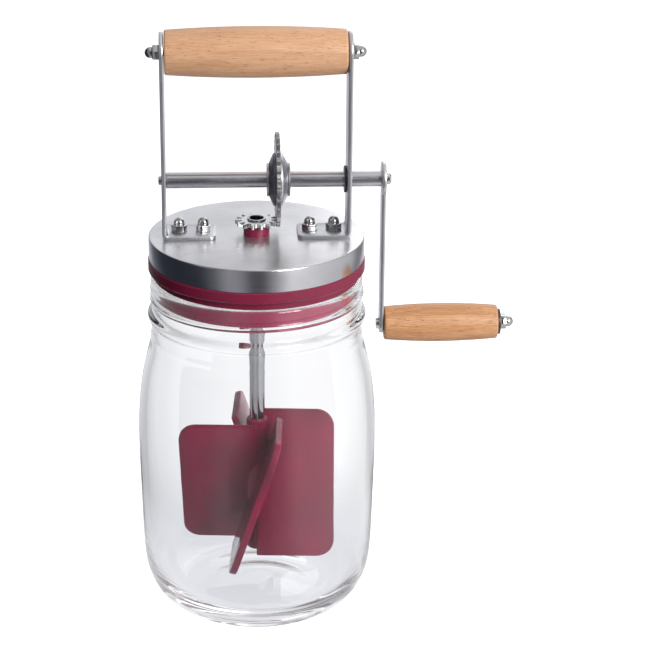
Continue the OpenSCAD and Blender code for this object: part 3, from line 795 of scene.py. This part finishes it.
def buildPaddle():
    # one rounded blade is copied round the hub, each copy leaning over like a propeller's
    s = paddleSize
    reach = s["reach"] * mm
    middle = (paddleLow.z + paddleHigh.z) / 2
    blade = bmesh.new()
    bmesh.ops.create_grid(blade, x_segments=1, y_segments=1, size=0.5)
    bmesh.ops.scale(blade, vec=(reach, s["height"] * mm, 1), verts=blade.verts)
    bmesh.ops.translate(blade, vec=(reach / 2, 0, -s["thickness"] / 2 * mm), verts=blade.verts)
    corners = [v for v in blade.verts if v.co.x > reach / 2]
    bmesh.ops.bevel(blade, geom=corners, offset=s["corner"] * mm, offset_type="OFFSET",
                    segments=s["cornerSteps"], profile=0.5, affect="VERTICES", clamp_overlap=True,
                    material=-1)
    made = bmesh.ops.extrude_face_region(blade, geom=blade.faces[:])
    bmesh.ops.translate(blade, vec=(0, 0, s["thickness"] * mm),
                        verts=[v for v in made["geom"] if isinstance(v, bmesh.types.BMVert)])
    bmesh.ops.recalc_face_normals(blade, faces=blade.faces)
    bevelSharp(blade, s["edge"], segments=3, angleDeg=60)
    bm = bmesh.new()
    for i in range(s["blades"]):
        place = (turned(360 / s["blades"] * i + s["turnDeg"], "Z") @ Matrix.Translation((0, 0, middle))
                 @ turned(90 - s["slopeDeg"], "X"))
        appendBmesh(bm, blade, place)
    blade.free()
    halfHeight = s["height"] / 2 * math.cos(math.radians(s["slopeDeg"]))
    top = middle / mm + halfHeight
    low = middle / mm - halfHeight
    hub = [(s["bore"], top - s["boreMouth"]), (s["bore"], top)]
    hub += fromCorner(s["hub"], top, s["hubTop"]) + fromCorner(s["hub"], low, s["hubFoot"])
    hub += [(0, low), (0, low + s["boreFloor"]), (s["bore"], low + s["boreFloor"])]
    spinProfile(bm, hub, steps=s["hubSteps"], closed=True)
    makePiece(bm, "paddle", "beater", [paddlePlastic], ["paddle"])


buildPinion()
buildTube()
buildPaddle()
print("paddle built")


# the small fittings keep their own shape and only take a finish
keptFinishes = {
    "bushing_nut": sealPlastic, "bracket_screws": brightSteel, "bracket_washers": brightSteel,
    "carry_handle_rod": brightSteel, "gear_collars": gearSteel, "gear_key": brightSteel,
    "retaining_clip": darkSteel, "crank_end_screw": brightSteel, "grip_bolt": brightSteel,
    "grip_washer": darkSteel, "thrust_washer": brightSteel, "tube_clip": darkSteel,
    "paddle_pin": brightSteel,
}
for node, material in keptFinishes.items():
    for slot in nodes[node].material_slots:
        slot.material = material
print("fittings finished")


# metal and glass look best in a room with dark and light sides, so they see these tones by compass
# (0.25 is the front, 0.5 is +X, 0.75 the back) while the camera sees a pale floor and plain white
roomTones = [
    (0.00, (0.03, 0.033, 0.045)), (0.08, (0.04, 0.043, 0.055)), (0.125, (0.16, 0.16, 0.18)),
    (0.165, (0.42, 0.42, 0.44)), (0.20, (0.34, 0.34, 0.36)), (0.235, (0.09, 0.09, 0.10)),
    (0.265, (0.09, 0.09, 0.10)), (0.305, (0.42, 0.41, 0.41)), (0.345, (1.00, 1.00, 1.00)),
    (0.42, (0.95, 0.95, 0.95)), (0.56, (0.72, 0.72, 0.72)), (0.61, (0.22, 0.22, 0.24)),
    (0.65, (0.40, 0.41, 0.43)), (0.69, (0.90, 0.90, 0.92)), (0.75, (0.88, 0.89, 0.92)),
    (0.81, (0.60, 0.61, 0.65)), (0.86, (0.16, 0.17, 0.20)), (0.92, (0.04, 0.045, 0.06)),
    (1.00, (0.03, 0.033, 0.045)),
]


def compassTones(tree, vector):
    around = addNode(tree, "ShaderNodeTexGradient", gradient_type="RADIAL")
    tree.links.new(vector, around.inputs["Vector"])
    positions, colours = zip(*roomTones)
    return colourRamp(tree, around.outputs["Fac"], positions, colours)


def mixColours(tree, factor, first, second):
    mix = addNode(tree, "ShaderNodeMix", data_type="RGBA")
    for socket, value in (("Factor", factor), ("A", first), ("B", second)):
        if isinstance(value, bpy.types.NodeSocket):
            tree.links.new(value, mix.inputs[socket])
        else:
            mix.inputs[socket].default_value = value
    return mix.outputs["Result"]


floorLook = {
    "size": 12.0, "drop": 0.0003, "cloudScale": 3, "cloudColour": (0.90, 0.90, 0.90),
    "colour": (0.92, 0.92, 0.92), "roughness": 0.8, "glow": 0.55, "toneStrength": 1.06,
    "discSpan": (0.09, 0.17), "discColour": (0.73, 0.74, 0.78, 1),  # an even patch under the churn
    "glassShare": 0.48, "glassPale": (1.12, 1.12, 1.12, 1),
}


def paleFloor(look):
    material, tree, shader = newMaterial("paleFloor")
    cloud = stretchedNoise(tree, look["cloudScale"], unstretched, detail=2)
    shade = colourRamp(tree, cloud.outputs["Fac"], (0, 1), (look["cloudColour"], look["colour"]))
    tree.links.new(shade, shader.inputs["Base Color"])
    shader.inputs["Roughness"].default_value = look["roughness"]
    shader.inputs["Specular IOR Level"].default_value = 0
    shader.inputs["Emission Color"].default_value = (*white, 1)
    shader.inputs["Emission Strength"].default_value = look["glow"]
    coords = addNode(tree, "ShaderNodeTexCoord")
    path = addNode(tree, "ShaderNodeLightPath")
    away = addNode(tree, "ShaderNodeVectorMath", operation="LENGTH")
    tree.links.new(coords.outputs["Object"], away.inputs[0])
    farShare = rangeMap(tree, away.outputs["Value"], 0, 1, look["discSpan"])
    tones = compassTones(tree, coords.outputs["Object"])
    paleTones = mixColours(tree, look["glassShare"], tones, look["glassPale"])
    throughGlass = mixColours(tree, farShare, look["discColour"], paleTones)
    offMetal = mixColours(tree, farShare, look["discColour"], tones)
    shiny = mixColours(tree, path.outputs["Is Glossy Ray"], tones, offMetal)
    seen = mixColours(tree, path.outputs["Is Transmission Ray"], shiny, throughGlass)
    reflected = addNode(tree, "ShaderNodeEmission")
    tree.links.new(seen, reflected.inputs["Color"])
    reflected.inputs["Strength"].default_value = look["toneStrength"]
    mix = addNode(tree, "ShaderNodeMixShader")
    tree.links.new(path.outputs["Is Camera Ray"], mix.inputs["Fac"])
    tree.links.new(reflected.outputs["Emission"], mix.inputs[1])
    tree.links.new(shader.outputs["BSDF"], mix.inputs[2])
    tree.links.new(mix.outputs["Shader"], tree.nodes["Material Output"].inputs["Surface"])
    return material


def buildFloor(look):
    bm = bmesh.new()
    bmesh.ops.create_grid(bm, x_segments=2, y_segments=2, size=look["size"] / 2)
    bmesh.ops.translate(bm, vec=(0, 0, -look["drop"]), verts=bm.verts)
    mesh = bpy.data.meshes.new("floor")
    bm.to_mesh(mesh)
    bm.free()
    mesh.materials.append(paleFloor(look))
    floor = bpy.data.objects.new("floor", mesh)
    scene.collection.objects.link(floor)


buildFloor(floorLook)

worldLook = {
    "strength": 1.0, "glassShare": 0.25,
    "ceilingSpan": (0.56, 0.94),  # how far up the walls turn into the ceiling
    "ceilingTones": (0.35, 1.15), "ceilingSides": (-0.75, 0.6),  # it is lighter towards +X
}


def buildWorld(look):
    world = bpy.data.worlds.new("studio")
    world.use_nodes = True
    scene.world = world
    tree = world.node_tree
    background = tree.nodes["Background"]
    background.inputs["Strength"].default_value = look["strength"]
    coords = addNode(tree, "ShaderNodeTexCoord")
    split = addNode(tree, "ShaderNodeSeparateXYZ")
    tree.links.new(coords.outputs["Generated"], split.inputs["Vector"])
    tones = compassTones(tree, coords.outputs["Generated"])
    upward = rangeMap(tree, split.outputs["Z"], 0, 1, look["ceilingSpan"])
    ceilingTone = rangeMap(tree, split.outputs["X"], *look["ceilingTones"], look["ceilingSides"])
    ceiling = addNode(tree, "ShaderNodeCombineColor")
    for channel in ("Red", "Green", "Blue"):
        tree.links.new(ceilingTone, ceiling.inputs[channel])
    room = mixColours(tree, upward, tones, ceiling.outputs["Color"])
    path = addNode(tree, "ShaderNodeLightPath")
    throughGlass = mixColours(tree, look["glassShare"], room, (*white, 1))
    offCamera = mixColours(tree, path.outputs["Is Transmission Ray"], room, throughGlass)
    seen = mixColours(tree, path.outputs["Is Camera Ray"], offCamera, (*white, 1))
    tree.links.new(seen, background.inputs["Color"])


buildWorld(worldLook)


def softLight(name, look):
    data = bpy.data.lights.new(name, "AREA")
    data.shape = "RECTANGLE"
    data.size, data.size_y = look["size"]
    data.energy = look["power"]
    data.color = look["colour"]
    light = bpy.data.objects.new(name, data)
    light.location = look["place"]
    light.rotation_mode = "QUATERNION"
    aim = Vector(look["target"]) - Vector(look["place"])
    light.rotation_quaternion = aim.to_track_quat("-Z", "Y")
    scene.collection.objects.link(light)


softLight("keyLight", {"place": (0.75, -1.1, 0.8), "target": (0, 0, 0.18), "size": (0.6, 0.6),
                       "power": 18, "colour": white})
softLight("fillLight", {"place": (-1.2, -0.7, 0.9), "target": (0, 0, 0.15), "size": (0.5, 0.7),
                        "power": 0.5, "colour": (0.93, 0.96, 1.0)})
softLight("backLight", {"place": (0.29, 0.55, 0.52), "target": (0, 0, 0.2), "size": (0.5, 0.34),
                        "power": 0.62, "colour": white})

cameraLook = {"place": (-0.02775, -1.01553, 0.55196), "panDeg": -3.518, "tiltDeg": 21.5,
              "rollDeg": 0.508, "lens": 118.9, "sensor": 36}
cameraData = bpy.data.cameras.new("camera")
cameraData.sensor_width = cameraLook["sensor"]
cameraData.lens = cameraLook["lens"]
camera = bpy.data.objects.new("camera", cameraData)
camera.matrix_world = (Matrix.Translation(cameraLook["place"]) @ turned(cameraLook["panDeg"], "Z")
                       @ turned(90 - cameraLook["tiltDeg"], "X") @ turned(cameraLook["rollDeg"], "Z"))
scene.collection.objects.link(camera)
scene.camera = camera

# light turns many times inside thick glass, and fewer bounces leave it dark at the edges
lightLook = {"bounces": 64, "glossyBounces": 48, "glassBounces": 64, "brightest": 2}
scene.view_settings.view_transform = "Standard"
scene.cycles.max_bounces = lightLook["bounces"]
scene.cycles.glossy_bounces = lightLook["glossyBounces"]
scene.cycles.transmission_bounces = lightLook["glassBounces"]
scene.cycles.sample_clamp_indirect = lightLook["brightest"]
print("stage set")
